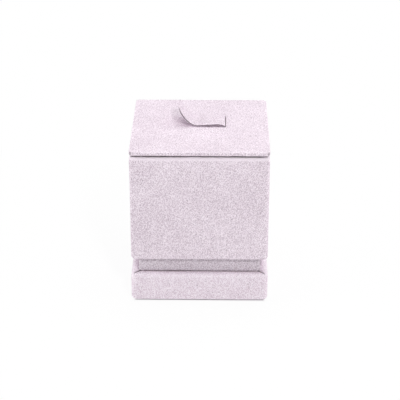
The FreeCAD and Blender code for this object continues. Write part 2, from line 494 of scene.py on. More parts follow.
@dataclass(frozen=True)
class SteelFinish:
    """Rolled spring strip with fine lines along its length."""

    name: str
    light: Colour
    dark: Colour
    line_width: float

    def material(self) -> bpy.types.Material:
        """Make the finish's material.

        Returns:
            The material.
        """
        material, graph, shader = new_material(self.name)
        lines = graph.add("ShaderNodeMapping")
        place = graph.turned_place()
        graph.feed_all(lines, {"Vector": place, "Scale": (0.02, 1.0, 0.02)})
        rolled = graph.stretch(graph.noise(lines.outputs[0], 1 / self.line_width, 3.0, 0.6), 0.3, 0.7)
        graph.feed_all(shader, {
            "Base Color": graph.mix(rolled, self.dark.linear(), self.light.linear()),
            "Metallic": 1.0,
            "Roughness": graph.scaled(rolled, 0.18, 0.26),
        })
        add_bump(graph, shader, rolled, 0.15, 0.01 * MM)
        return material


@dataclass(frozen=True)
class Finishes:
    """Materials of the box, made once."""

    suede: bpy.types.Material
    shaded_band_suede: bpy.types.Material
    lit_plinth_suede: bpy.types.Material
    lining: bpy.types.Material
    felt: bpy.types.Material
    fibreboard: bpy.types.Material
    greyboard: bpy.types.Material
    steel: bpy.types.Material

    @classmethod
    def make(cls) -> "Finishes":
        """Make every material of the box.

        Returns:
            The finishes.
        """
        nap = make_nap_group()
        fibres = make_fibre_group()
        # the cut edge tone is the raw edge's dark colour, and also the painted shade of the seams and of the
        # tongue's edge
        suede = NapFinish(
            name="lilac_suede", light=Colour(254, 243, 252), dark=Colour(204, 188, 200),
            speck=Colour(160, 144, 156), cut_edge_and_shade=Colour(96, 84, 92), grain_size=0.42 * MM, speck_share=0.14,
            fold_highlight=0.3, sheen=0.25, bump_strength=0.7, bump_depth=0.15 * MM,
        )
        # painted shade: a darker copy of the suede for the neck, which lies in shade under the box's overhang
        shaded_band_suede = replace(
            suede, name="lilac_suede_band_painted_shade", light=Colour(235, 227, 234), dark=Colour(188, 175, 185),
            speck=Colour(151, 136, 147),
        )
        # painted light: a lighter copy of the suede for the base, standing in for light thrown up from the
        # floor
        lit_plinth_suede = replace(
            suede, name="lilac_suede_plinth_painted_light", light=Colour(255, 246, 254), dark=Colour(217, 199, 212),
        )
        lining = NapFinish(
            name="lilac_lining", light=Colour(238, 227, 236), dark=Colour(210, 197, 208),
            speck=Colour(188, 174, 186), cut_edge_and_shade=Colour(150, 138, 148), grain_size=0.25 * MM,
            speck_share=0.12, fold_highlight=0.2, sheen=0.2, bump_strength=0.3, bump_depth=0.08 * MM,
        )
        felt = NapFinish(
            name="grey_felt", light=Colour(196, 190, 194), dark=Colour(158, 152, 157),
            speck=Colour(126, 121, 126), cut_edge_and_shade=Colour(126, 121, 126), grain_size=0.6 * MM, speck_share=0.3,
            fold_highlight=0.1, sheen=0.1, bump_strength=0.6, bump_depth=0.25 * MM,
        )
        fibreboard = BoardFinish(
            "fibreboard", Colour(190, 160, 122), Colour(150, 120, 86), Colour(104, 80, 56), 0.5 * MM, 0.32,
        )
        greyboard = BoardFinish(
            "greyboard", Colour(172, 168, 160), Colour(136, 132, 125), Colour(96, 94, 92), 0.4 * MM, 0.34,
        )
        steel = SteelFinish("spring_steel", Colour(206, 208, 212), Colour(150, 152, 158), 0.12 * MM)
        return cls(
            suede.material(nap), shaded_band_suede.material(nap), lit_plinth_suede.material(nap), lining.material(nap),
            felt.material(nap), fibreboard.material(fibres), greyboard.material(fibres), steel.material(),
        )


@dataclass(frozen=True)
class Station:
    """One point of a cover's section.

    inset is how far it lies in from the outer faces, level how high it is. fold, mitre, wave and seam_shade
    are
    shares: how round the cover is there, which sets its painted highlight, how deep the corner cuts are, how
    far the seam's waves reach and how much painted shade darkens the seam.
    """

    inset: float
    level: float
    fold: float = 0.0
    mitre: float = 0.0
    wave: float = 0.0
    seam_shade: float = 0.0


Work = Callable[[Station], float]


class Section:
    """Section line of a cover from one cut edge to the other, walked with the outer side on the left."""

    def __init__(self, inset: float, level: float, mitre: float = 0.0) -> None:
        """Start the line at a cut edge."""
        self.stations = [Station(inset, level, 0.0, mitre)]

    def line(self, inset: float, level: float, step: float) -> "Section":
        """Go straight to a point.

        Args:
            inset: inset of the point.
            level: level of the point.
            step: largest distance between stations.

        Returns:
            The section itself.
        """
        last = self.stations[-1]
        steps = max(1, math.ceil(math.hypot(inset - last.inset, level - last.level) / step))
        for k in range(1, steps + 1):
            share = k / steps
            self.stations.append(Station(
                last.inset + (inset - last.inset) * share, last.level + (level - last.level) * share,
                0.0, last.mitre,
            ))
        return self

    def bend(self, radius: float, start: float, steps: int, mitre: tuple[float, float] = (0.0, 0.0),
             fold: float = 1.0) -> "Section":
        """Go round a right-angled bend that leaves the last station square to its radius.

        Args:
            radius: radius of the bend.
            start: direction from the centre to the last station, where 0 is inwards and 90 is up.
            steps: number of stations in the bend.
            mitre: depth of the corner cuts at the start and at the end.
            fold: how far the nap opens and how strong the painted highlight is in the middle of the bend.

        Returns:
            The section itself.
        """
        last = self.stations[-1]
        first = math.radians(start)
        centre = (last.inset - radius * math.cos(first), last.level - radius * math.sin(first))
        for k in range(1, steps + 1):
            share = k / steps
            angle = math.radians(start + 90 * share)
            self.stations.append(Station(
                centre[0] + radius * math.cos(angle), centre[1] + radius * math.sin(angle),
                fold * math.sin(math.pi * share), mitre[0] + (mitre[1] - mitre[0]) * share,
            ))
        return self

    def worked(self, wave: Work, seam_shade: Optional[Work] = None) -> list[Station]:
        """Stations with their seam waves and painted seam shade, and no corner cut shallower than none.

        Args:
            wave: how far the seam's waves reach at a station.
            seam_shade: how much painted shade darkens the seam at a station.

        Returns:
            The stations.
        """
        return [replace(s, mitre=max(0.0, s.mitre), wave=wave(s), seam_shade=seam_shade(s) if seam_shade else 0.0)
                for s in self.stations]


@dataclass(frozen=True)
class Spread:
    """Places of the points along the sides of every ring.

    A place from -1 to 1 lies on the straight stretch of a side. Past that, up to 2, it lies in the corner,
    where 2 is the diagonal.
    """

    zone: float
    along_x: tuple[float, ...]
    along_y: tuple[float, ...]

    @classmethod
    def even(cls, half_x: float, half_y: float, zone: float, step: float, cuts_x: Sequence[float] = (),
             cuts_y: Sequence[float] = (), corner_steps: int = 10) -> "Spread":
        """Spread points evenly, closer together towards the corners.

        Args:
            half_x: half the width of the ring that the cuts are measured on.
            half_y: half its depth.
            zone: length of each corner stretch.
            step: distance between points on the straight stretches.
            cuts_x: places along X where a line has to pass.
            cuts_y: places along Y where a line has to pass.
            corner_steps: number of points in each corner stretch.

        Returns:
            The spread.
        """
        corner = [2 - (1 - k / corner_steps) ** 2 for k in range(1, corner_steps + 1)]
        sides = []
        for half, cuts in ((half_x, cuts_x), (half_y, cuts_y)):
            reach = half - zone
            steps = max(2, round(2 * reach / step))
            fixed = [cut / reach for cut in cuts]
            loose = [2 * k / steps - 1 for k in range(steps + 1)]
            free = [p for p in loose if all(abs(p - f) > 0.5 / steps for f in fixed)]
            sides.append(tuple(sorted([-p for p in corner] + free + fixed + corner)))
        return cls(zone, sides[0], sides[1])

    def on_side(self, place: float, half: float, radius: float) -> tuple[float, float]:
        """Where a place falls on a side.

        Args:
            place: the place.
            half: half the length of the side.
            radius: radius of the corner.

        Returns:
            The distance from the middle of the side, and how far the corner's round draws it in.
        """
        straight = half - self.zone
        if abs(place) <= 1:
            return place * straight, 0.0
        run = self.zone - radius
        reach = (abs(place) - 1) * (run + radius * math.pi / 4)
        if reach <= run or radius == 0:
            return math.copysign(straight + reach, place), 0.0
        turn = (reach - run) / radius
        return math.copysign(half - radius + radius * math.sin(turn), place), radius * (1 - math.cos(turn))

    def ring(self, half_x: float, half_y: float, radius: float) -> list[tuple[float, float]]:
        """Points of a rounded rectangle, anticlockwise from its front left corner.

        Args:
            half_x: half its width.
            half_y: half its depth.
            radius: radius of its corners.

        Returns:
            The points.
        """
        on_x = [self.on_side(place, half_x, radius) for place in self.along_x]
        on_y = [self.on_side(place, half_y, radius) for place in self.along_y]
        points = [(along, sunk - half_y) for along, sunk in on_x[:-1]]
        points += [(half_x - sunk, along) for along, sunk in on_y[:-1]]
        points += [(along, half_y - sunk) for along, sunk in on_x[:0:-1]]
        points += [(sunk - half_x, along) for along, sunk in on_y[:0:-1]]
        return points


@dataclass(frozen=True)
class Handwork:
    """Small unevenness of a cover that is glued on by hand."""

    swell: float = 0.05 * MM
    swell_length: float = 11.0 * MM
    pucker: float = 0.018 * MM
    pucker_length: float = 2.6 * MM
    seam_wave: float = 0.11 * MM
    seam_wave_length: float = 7.0 * MM
    seam_ripple: float = 0.1 * MM
    seam_ripple_length: float = 1.9 * MM
    mitre_depth: float = 0.46 * MM
    mitre_width: float = 0.34 * MM
    corner_reach: float = 0.9 * MM
    cloth_give: float = 0.4 * MM

    def out(self, point: Vector, seed: float) -> float:
        """How far the cover stands out at a point.

        Args:
            point: the point.
            seed: number that sets its unevenness apart from that of others.

        Returns:
            The distance.
        """
        shift = Vector((seed, -seed, seed))
        broad = noise.noise(point / self.swell_length + shift)
        close = noise.noise(point / self.pucker_length - shift)
        return self.swell * broad + self.pucker * close

    def rise(self, point: Vector, sag: float, seed: float) -> float:
        """How far a seam rises or falls at a point, as far as the cloth gives before the board shows.

        Args:
            point: the point.
            sag: how far the seam falls on the whole.
            seed: number that sets its waves apart from those of others.

        Returns:
            The rise.
        """
        shift = Vector((seed, seed, 0.0))
        place = Vector((point.x, point.y, 0.0))
        wave = self.seam_wave * noise.noise(place / self.seam_wave_length + shift)
        ripple = self.seam_ripple * noise.noise(place / self.seam_ripple_length - shift)
        return max(-self.cloth_give, min(self.cloth_give, wave + ripple - sag))

    def clear_of_corner(self, apart: float) -> float:
        """Share of a side's sag at a distance from the corner, where the folded cloth is thicker."""
        share = min(1.0, apart / self.corner_reach)
        return share * share * (3 - 2 * share)

    def mitre_share(self, apart: float) -> float:
        """Share of its full depth that a corner cut has at a distance from its middle."""
        return math.exp(-(apart / self.mitre_width) ** 2)


def mark(mesh: bpy.types.Mesh, name: str, shares: Sequence[float]) -> None:
    """Give each point of a mesh a share that its material reads.

    Args:
        mesh: the mesh.
        name: name of the attribute.
        shares: one share for each point.
    """
    mesh.attributes.new(name, "FLOAT", "POINT").data.foreach_set("value", shares)


HANDWORK = Handwork()
Keep = Callable[[Side, float], bool]
Hole = tuple[float, float, float, float]


@dataclass
class Shell:
    """Cloth that follows a section round a rounded rectangle, and a grid that closes an end if asked for.

    sag is how far its seam falls in front and behind, and how far on the left and right.
    """

    half_x: float
    half_y: float
    corner_radius: float
    spread: Spread
    sag: tuple[float, float] = (0.0, 0.0)
    points: list[Vector] = field(default_factory=list)
    faces: list[tuple[int, ...]] = field(default_factory=list)
    stations: list[Station] = field(default_factory=list)

    def sweep(self, stations: Sequence[Station], keep: Optional[Keep] = None) -> "Shell":
        """Lay a ring at every station and join them.

        Args:
            stations: section from one cut edge to the other.
            keep: tells from the side and the place whether a strip of faces is there.

        Returns:
            The shell itself.
        """
        outer = min(station.inset for station in stations)
        sides = ((Side.FRONT, self.spread.along_x), (Side.RIGHT, self.spread.along_y),
                 (Side.REAR, self.spread.along_x[::-1]), (Side.LEFT, self.spread.along_y[::-1]))
        kept = [keep is None or keep(side, (places[k] + places[k + 1]) / 2)
                for side, places in sides for k in range(len(places) - 1)]
        count = len(kept)
        first = len(self.points)
        for station in stations:
            radius = max(0.0, self.corner_radius - (station.inset - outer))
            flat = self.spread.ring(self.half_x - station.inset, self.half_y - station.inset, radius)
            self.points += [Vector((x, y, station.level)) for x, y in flat]
            self.stations += [station] * count
        for row in range(len(stations) - 1):
            low = first + row * count
            for k in range(count):
                if kept[k]:
                    after = (k + 1) % count
                    self.faces.append((low + k, low + count + k, low + count + after, low + after))
        return self

    def close(self, upper: bool, hole: Optional[Hole] = None) -> "Shell":
        """Fill the first ring from above, or the last one from below, with an even grid.

        Args:
            upper: whether it is the first ring.
            hole: lowest and highest X and Y of a slit in the grid.

        Returns:
            The shell itself.
        """
        across, down = len(self.spread.along_x), len(self.spread.along_y)
        count = 2 * (across + down) - 4
        start = 0 if upper else len(self.points) - count
        station = self.stations[start]
        index = {}
        for i in range(across):
            index[i, 0] = start + i
            index[i, down - 1] = start + 2 * across + down - 3 - i
        for j in range(1, down - 1):
            index[across - 1, j] = start + across - 1 + j
            index[0, j] = start + count - j
        for i in range(1, across - 1):
            for j in range(1, down - 1):
                index[i, j] = len(self.points)
                x = self.points[index[i, 0]].x
                y = self.points[index[0, j]].y
                self.points.append(Vector((x, y, station.level)))
                self.stations.append(Station(station.inset, station.level))
        for i in range(across - 1):
            for j in range(down - 1):
                cell = [index[i, j], index[i + 1, j], index[i + 1, j + 1], index[i, j + 1]]
                middle = sum((self.points[k] for k in cell), Vector()) / 4
                if hole and hole[0] < middle.x < hole[1] and hole[2] < middle.y < hole[3]:
                    continue
                self.faces.append(tuple(cell if upper else cell[::-1]))
        return self

    def mesh(self, name: str, seed: float, matrix: Optional[Matrix] = None) -> bpy.types.Mesh:
        """Make the mesh, with its corner cuts, seam waves and small unevenness.

        Args:
            name: name of the mesh.
            seed: number that sets its unevenness apart from that of others.
            matrix: where it goes, if not in the frame as it is.

        Returns:
            The mesh.
        """
        mesh = bpy.data.meshes.new(name)
        mesh.from_pydata(self.points, [], self.faces)
        mesh.update()
        normals = [vertex.normal.copy() for vertex in mesh.vertices]
        cuts = []
        for vertex, normal, station in zip(mesh.vertices, normals, self.stations):
            point = vertex.co.copy()
            along_x = (self.half_x - abs(point.x)) - (self.half_y - abs(point.y))
            apart = abs(along_x) / math.sqrt(2)
            sag = self.sag[0] if along_x > 0 else self.sag[1]
            cut = station.mitre * HANDWORK.mitre_share(apart)
            out = HANDWORK.out(point, seed) - cut * HANDWORK.mitre_depth
            rise = station.wave * HANDWORK.rise(point, sag * HANDWORK.clear_of_corner(apart), seed)
            vertex.co = point + normal * out + Vector((0.0, 0.0, rise))
            # painted shade: the seam under the lid is darkened towards the cut edge's tone, like a mitre cut
            cuts.append(max(cut, station.seam_shade))
        mark(mesh, "cut", cuts)
        mark(mesh, "fold", [station.fold for station in self.stations])
        if matrix is not None:
            mesh.transform(matrix)
        return mesh


def show(name: str, mesh: bpy.types.Mesh, material: bpy.types.Material,
         thickness: float = 0.0) -> bpy.types.Object:
    """Put a mesh into the scene as a smooth piece.

    Args:
        name: name of the piece.
        mesh: its mesh.
        material: its material.
        thickness: thickness that is added on the inner side of a cloth.

    Returns:
        The piece.
    """
    piece = bpy.data.objects.new(name, mesh)
    bpy.context.scene.collection.objects.link(piece)
    if thickness > 0:
        solid = piece.modifiers.new("thickness", "SOLIDIFY")
        solid.thickness = thickness
        solid.offset = -1.0
        graph = bpy.context.evaluated_depsgraph_get()
        piece.data = bpy.data.meshes.new_from_object(piece.evaluated_get(graph))
        piece.modifiers.clear()
        bpy.data.meshes.remove(mesh)
        piece.data.name = name
    piece.data.materials.clear()
    piece.data.materials.append(material)
    piece.data.shade_smooth()
    piece.data.set_sharp_from_angle(angle=math.radians(SHARP_ANGLE))
    return piece


def settle(piece: bpy.types.Object, body: Body, nodes: Sequence[str]) -> None:
    """Let a piece ride on a body in place of CAD nodes, and report it.

    Args:
        piece: the piece.
        body: body that it moves with.
        nodes: CAD nodes that it stands for.
    """
    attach(piece, body.value)
    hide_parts(*nodes)
    LOG.info("%s rides on %s in place of %s", piece.name, body.value, ", ".join(nodes))


def dress_nodes(nodes: Sequence[str], material: bpy.types.Material) -> None:
    """Give CAD nodes that stay in view their finish.

    Args:
        nodes: names of the nodes.
        material: their material.
    """
    for name in nodes:
        mesh = frame["nodes"][name].data
        mesh.materials.clear()
        mesh.materials.append(material)
        LOG.info("%s is dressed in %s", name, material.name)


@dataclass(frozen=True)
class Extent:
    """Box of a CAD node, read from the frame."""

    low: Vector
    high: Vector

    @classmethod
    def of(cls, node: str) -> "Extent":
        """Read the box of a node."""
        low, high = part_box(node)
        return cls(low, high)

    @property
    def half_x(self) -> float:
        """Half the width."""
        return (self.high.x - self.low.x) / 2

    @property
    def half_y(self) -> float:
        """Half the depth."""
        return (self.high.y - self.low.y) / 2

    @property
    def middle(self) -> Vector:
        """Middle of the box."""
        return (self.low + self.high) / 2

    @property
    def size(self) -> Vector:
        """Width, depth and height."""
        return self.high - self.low


@dataclass
class Cloth:
    """Sizes that all suede covers share."""

    thickness: float = 0.46 * MM
    corner_zone: float = 3.2 * MM
    step: float = 1.1 * MM


@dataclass
class Plinth:
    """Covered base on its felt, and the covered neck that stands on it."""

    cloth: Cloth
    finishes: Finishes
    top_radius: float = 2.0 * MM
    bottom_radius: float = 1.2 * MM
    corner_radius: float = 2.6 * MM
    seat_overlap: float = 4.0 * MM
    turn_under: float = 8.0 * MM
    neck_corner_radius: float = 0.8 * MM
    neck_edge_radius: float = 0.3 * MM
    neck_foot_radius: float = 0.4 * MM
    crease_depth: tuple[float, float] = (0.45 * MM, 0.05 * MM)
    crease_width: float = 1.9 * MM
    neck_seam: float = 0.4 * MM
    felt_corner_radius: float = 2.0 * MM
    felt_edge_radius: float = 0.3 * MM

    def base_wrap(self) -> bpy.types.Object:
        """Make the base's cover, from under the neck over the edges to its cut edge underneath.

        Returns:
            The piece.
        """
        base = Extent.of("base_wrap")
        neck = Extent.of("neck_wrap")
        spread = Spread.even(base.half_x, base.half_y, self.cloth.corner_zone, self.cloth.step)
        ledge = base.half_x - neck.half_x
        window = ledge + self.seat_overlap
        section = Section(window, base.high.z, mitre=FULL_CUT).line(ledge, base.high.z, self.cloth.step)
        section.line(self.top_radius, base.high.z, self.cloth.step / 6)
        section.bend(self.top_radius, UPWARD, 8, mitre=(FULL_CUT, CUT_RUN_OUT))
        section.line(0, base.low.z + self.bottom_radius, self.cloth.step)
        section.bend(self.bottom_radius, OUTWARD, 8, mitre=(CUT_RUN_OUT, FULL_CUT))
        section.line(self.turn_under, base.low.z, self.cloth.step)
        stations = section.worked(lambda s: self.crease_share(s, base, ledge))
        shell = Shell(base.half_x, base.half_y, self.corner_radius, spread, self.crease_depth).sweep(stations)
        mesh = shell.mesh("base_suede", Seed.BASE.value)
        # the base takes the lighter copy of the suede, as painted light
        piece = show("base_suede", mesh, self.finishes.lit_plinth_suede, self.cloth.thickness)
        settle(piece, Body.BOX, ["base_wrap"])
        return piece

    def crease_share(self, station: Station, base: Extent, ledge: float) -> float:
        """How deep the crease at the neck's foot is: fully under the neck, and none out on the ledge.

        Args:
            station: a station of the cover.
            base: box of the base's cover.
            ledge: width of the ledge.

        Returns:
            The share of the crease's depth.
        """
        if station.level < base.high.z - self.top_radius:
            return 0.0
        return min(1.0, max(0.0, 1 - (ledge - station.inset) / self.crease_width)) ** 2

    def neck_wrap(self) -> bpy.types.Object:
        """Make the neck's band, whose ends meet at the rear.

        Returns:
            The piece.
        """
        neck = Extent.of("neck_wrap")
        radius = self.neck_edge_radius
        half_seam = self.neck_seam / 2
        spread = Spread.even(neck.half_x, neck.half_y, self.cloth.corner_zone, self.cloth.step,
                             cuts_x=(-half_seam, half_seam))
        section = Section(radius, neck.high.z).bend(radius, UPWARD, 3)
        section.line(0, neck.low.z + self.neck_foot_radius, self.cloth.step / 2)
        section.bend(self.neck_foot_radius, OUTWARD, 4)
        seam_place = half_seam / (neck.half_x - self.cloth.corner_zone)

        def beside_seam(side: Side, place: float) -> bool:
            """Whether a strip of faces lies outside the gap at the rear."""
            return side is not Side.REAR or abs(place) > seam_place

        shell = Shell(neck.half_x, neck.half_y, self.neck_corner_radius, spread)
        shell.sweep(section.stations, beside_seam)
        mesh = shell.mesh("neck_suede", Seed.NECK.value)
        # the neck takes the darker copy of the suede, as painted shade
        piece = show("neck_suede", mesh, self.finishes.shaded_band_suede, self.cloth.thickness)
        settle(piece, Body.BOX, ["neck_wrap"])
        return piece

    def felt(self) -> bpy.types.Object:
        """Make the felt that the box stands on.

        Returns:
            The piece.
        """
        felt = Extent.of("base_felt")
        piece = slab("base_felt_pad", felt.half_x, felt.half_y, felt.low.z, felt.high.z,
                     self.felt_corner_radius, self.felt_edge_radius, self.cloth, self.finishes.felt,
                     Seed.FELT.value)
        settle(piece, Body.BOX, ["base_felt"])
        return piece

    def build(self) -> list[bpy.types.Object]:
        """Make the plinth's covers and dress its boards."""
        dress_nodes(["base_board", "neck_board"], self.finishes.fibreboard)
        return [self.base_wrap(), self.neck_wrap(), self.felt()]


def slab(name: str, half_x: float, half_y: float, low: float, high: float, corner_radius: float,
         edge_radius: float, cloth: Cloth, material: bpy.types.Material, seed: float,
         matrix: Optional[Matrix] = None) -> bpy.types.Object:
    """Make a closed soft slab with round edges.

    Args:
        name: name of the piece.
        half_x: half its width.
        half_y: half its depth.
        low: level of its lower face.
        high: level of its upper face.
        corner_radius: radius of its upright corners.
        edge_radius: radius of its other edges.
        cloth: spacing of its points.
        material: its material.
        seed: number that sets its unevenness apart.
        matrix: where it goes, if not in the frame as it is.

    Returns:
        The piece.
    """
    zone = max(corner_radius, edge_radius) * 2
    spread = Spread.even(half_x, half_y, zone, 2 * cloth.step, corner_steps=5)
    section = Section(zone, high).line(edge_radius, high, zone).bend(edge_radius, UPWARD, 4)
    section.line(0, low + edge_radius, high - low).bend(edge_radius, OUTWARD, 4).line(zone, low, zone)
    shell = Shell(half_x, half_y, corner_radius, spread).sweep(section.stations)
    shell.close(False).close(True)
    return show(name, shell.mesh(name, seed, matrix), material)


@dataclass
class Case:
    """Covered walls of the box and the lining inside them."""

    cloth: Cloth
    finishes: Finishes
    rim_radius: float = 1.9 * MM
    floor_radius: float = 1.1 * MM
    corner_radius: float = 1.8 * MM
    lip_radius: float = 0.5 * MM
    lip_cut: float = 0.3
    rim_sag: float = 0.42 * MM
    # painted highlight on the rim's rounded top, where light catches it, far stronger than on other bends
    rim_painted_highlight: float = 3.3
    wave_reach: float = 3.0
    lip_reach: float = 0.75
    # painted shade on the rim's top, in the seam under the lid
    seam_shade_share: float = 0.22
    seam_shade_depth: float = 0.25 * MM
    turn_in: float = 8.0 * MM
    seat_overlap: float = 4.0 * MM
    panel_corner_radius: float = 0.3 * MM
    panel_edge_radius: float = 0.4 * MM

    def wrap(self) -> bpy.types.Object:
        """Make the cover, from its cut edge inside the rim, down the walls and under the floor.

        Returns:
            The piece.
        """
        case = Extent.of("box_wrap")
        neck = Extent.of("neck_wrap")
        opening = case.half_x - Extent.of("front_lining").half_x
        lip = self.lip_radius
        spread = Spread.even(case.half_x, case.half_y, self.cloth.corner_zone, self.cloth.step)
        section = Section(opening, case.high.z - self.turn_in)
        section.line(opening, case.high.z - lip, self.cloth.step)
        section.bend(lip, INWARD, 4, mitre=(self.lip_cut, FULL_CUT))
        section.line(self.rim_radius, case.high.z, self.cloth.step / 2)
        section.bend(self.rim_radius, UPWARD, 8, mitre=(FULL_CUT, CUT_RUN_OUT), fold=self.rim_painted_highlight)
        section.line(0, case.low.z + self.floor_radius, self.cloth.step).bend(self.floor_radius, OUTWARD, 6)
        section.line(case.half_x - neck.half_x + self.seat_overlap, case.low.z, self.cloth.step)
        stations = section.worked(lambda s: self.rim_wave(s, case), lambda s: self.rim_seam_shade(s, case))
        shell = Shell(case.half_x, case.half_y, self.corner_radius, spread, (self.rim_sag, self.rim_sag))
        shell.sweep(stations)
        mesh = shell.mesh("case_suede", Seed.CASE.value)
        piece = show("case_suede", mesh, self.finishes.suede, self.cloth.thickness)
        settle(piece, Body.BOX, ["box_wrap"])
        return piece

    def rim_wave(self, station: Station, case: Extent) -> float:
        """How far the rim's sag and waves reach at a station: fully on its top, and not at the inner lip."""
        near = max(0.0, 1 - abs(case.high.z - station.level) / (self.wave_reach * self.rim_radius))
        return near * min(1.0, max(0.0, 3 - station.inset / (self.lip_reach * self.rim_radius)))

    def rim_seam_shade(self, station: Station, case: Extent) -> float:
        """How much painted shade darkens the seam at a station: on the rim's top, where the lid sits."""
        below = (case.high.z - station.level) / self.seam_shade_depth
        return self.seam_shade_share * max(0.0, 1 - below)

    def panels(self) -> list[bpy.types.Object]:
        """Make the lining panels: soft faces that look into the well.

        Returns:
            The pieces.
        """
        inward = {
            "front_lining": Vector((0, 1, 0)),
            "rear_lining": Vector((0, -1, 0)),
            "left_lining": Vector((1, 0, 0)),
            "right_lining": Vector((-1, 0, 0)),
            "floor_lining": Vector((0, 0, 1)),
        }
        pieces = []
        for order, (node, face) in enumerate(inward.items()):
            extent = Extent.of(node)
            upright = Vector((0, 1, 0)) if face.z else Vector((0, 0, 1))
            across = upright.cross(face)
            turn = Matrix((across, upright, face)).transposed().to_4x4()
            half_x, half_y, half_z = (abs(extent.size.dot(axis)) / 2 for axis in (across, upright, face))
            piece = slab(f"{node}_panel", half_x, half_y, -half_z, half_z, self.panel_corner_radius,
                         self.panel_edge_radius, self.cloth, self.finishes.lining, Seed.PANELS.value + order,
                         Matrix.Translation(extent.middle) @ turn)
            settle(piece, Body.BOX, [node])
            pieces.append(piece)
        return pieces

    def build(self) -> list[bpy.types.Object]:
        """Make the cover and the lining and dress the boards.

        Returns:
            The pieces.
        """
        boards = [f"{place}_board" for place in ("floor", "front", "rear", "left", "right")]
        dress_nodes(boards, self.finishes.greyboard)
        return [self.wrap(), *self.panels()]


@dataclass
class Lid:
    """Covered lid card with the clip's slit, and the lined plug under it."""

    cloth: Cloth
    finishes: Finishes
    top_radius: float = 0.5 * MM
    bottom_radius: float = 0.8 * MM
    corner_radius: float = 1.8 * MM
    corner_fold: float = 0.9
    seat_overlap: float = 4.0 * MM
    edge_lift: float = 0.36 * MM
    wave_reach: float = 3.0
    # painted shade on the hem under the card, in the seam over the rim
    seam_shade_share: float = 0.8
    seam_shade_depth: float = 0.25 * MM
    slit_clearance: float = 0.28 * MM
    clip_thickness: float = 0.8 * MM
    plug_edge_radius: float = 0.6 * MM
    plug_corner_radius: float = 1.9 * MM
    plug_thickness: float = 0.55 * MM

    def slit(self) -> Hole:
        """Slit in the lid that fits round the clip's root.

        Returns:
            Its lowest and highest X and Y.
        """
        root = Extent.of("clip_cover_root")
        room = self.slit_clearance
        return (root.high.x - self.clip_thickness - room, root.high.x + room,
                root.low.y - room, root.high.y + room)

    def wrap(self) -> bpy.types.Object:
        """Make the cover: over the top, round the edges and under the card to its cut edge.

        Returns:
            The piece.
        """
        lid = Extent.of("lid_wrap")
        plug = Extent.of("lid_plug_lining")
        slit = self.slit()
        zone = self.cloth.corner_zone
        spread = Spread.even(lid.half_x - zone, lid.half_y - zone, zone, self.cloth.step, slit[:2], slit[2:])
        section = Section(zone, lid.high.z).line(self.top_radius, lid.high.z, self.cloth.step / 2)
        section.bend(self.top_radius, UPWARD, 6, mitre=(0.0, self.corner_fold))
        section.line(0, lid.low.z + self.bottom_radius, self.cloth.step / 2)
        section.bend(self.bottom_radius, OUTWARD, 6, mitre=(self.corner_fold, FULL_CUT))
        section.line(lid.half_x - plug.half_x + self.seat_overlap, lid.low.z, self.cloth.step)
        stations = section.worked(lambda s: self.edge_wave(s, lid), lambda s: self.hem_seam_shade(s, lid))
        shell = Shell(lid.half_x, lid.half_y, self.corner_radius, spread, (-self.edge_lift, -self.edge_lift))
        shell.sweep(stations).close(True, slit)
        mesh = shell.mesh("lid_suede", Seed.LID.value)
        piece = show("lid_suede", mesh, self.finishes.suede, self.cloth.thickness)
        settle(piece, Body.LID, ["lid_wrap"])
        return piece

    def edge_wave(self, station: Station, lid: Extent) -> float:
        """How far the seam's waves reach at a station: most on the lower edge, and none on the top."""
        near = max(0.0, 1 - station.inset / (self.wave_reach * self.bottom_radius))
        return near * (lid.high.z - station.level) / lid.size.z

    def hem_seam_shade(self, station: Station, lid: Extent) -> float:
        """How much painted shade darkens the seam at a station: on the hem under the card."""
        above = (station.level - lid.low.z) / self.seam_shade_depth
        return self.seam_shade_share * max(0.0, 1 - above)

    def plug_lining(self) -> bpy.types.Object:
        """Make the lining of the plug: over its lower face and up its sides.

        Returns:
            The piece.
        """
        plug = Extent.of("lid_plug_lining")
        radius = self.plug_edge_radius
        zone = self.cloth.corner_zone
        spread = Spread.even(plug.half_x, plug.half_y, zone, 2 * self.cloth.step)
        section = Section(0, plug.high.z).line(0, plug.low.z + radius, self.cloth.step)
        section.bend(radius, OUTWARD, 5).line(zone, plug.low.z, self.cloth.step)
        shell = Shell(plug.half_x, plug.half_y, self.plug_corner_radius, spread).sweep(section.stations)
        shell.close(False)
        mesh = shell.mesh("plug_lining", Seed.PLUG.value)
        piece = show("plug_lining", mesh, self.finishes.lining, self.plug_thickness)
        settle(piece, Body.LID, ["lid_plug_lining"])
        return piece

    def build(self) -> list[bpy.types.Object]:
        """Make the lid's cover and lining and dress its cards."""
        dress_nodes(["lid_board", "lid_plug_board"], self.finishes.greyboard)
        return [self.wrap(), self.plug_lining()]


@dataclass(frozen=True)
class PathPoint:
    """A point on the clip's middle line: its place, its heading and how far along it lies."""

    x: float
    z: float
    heading: float
    along: float


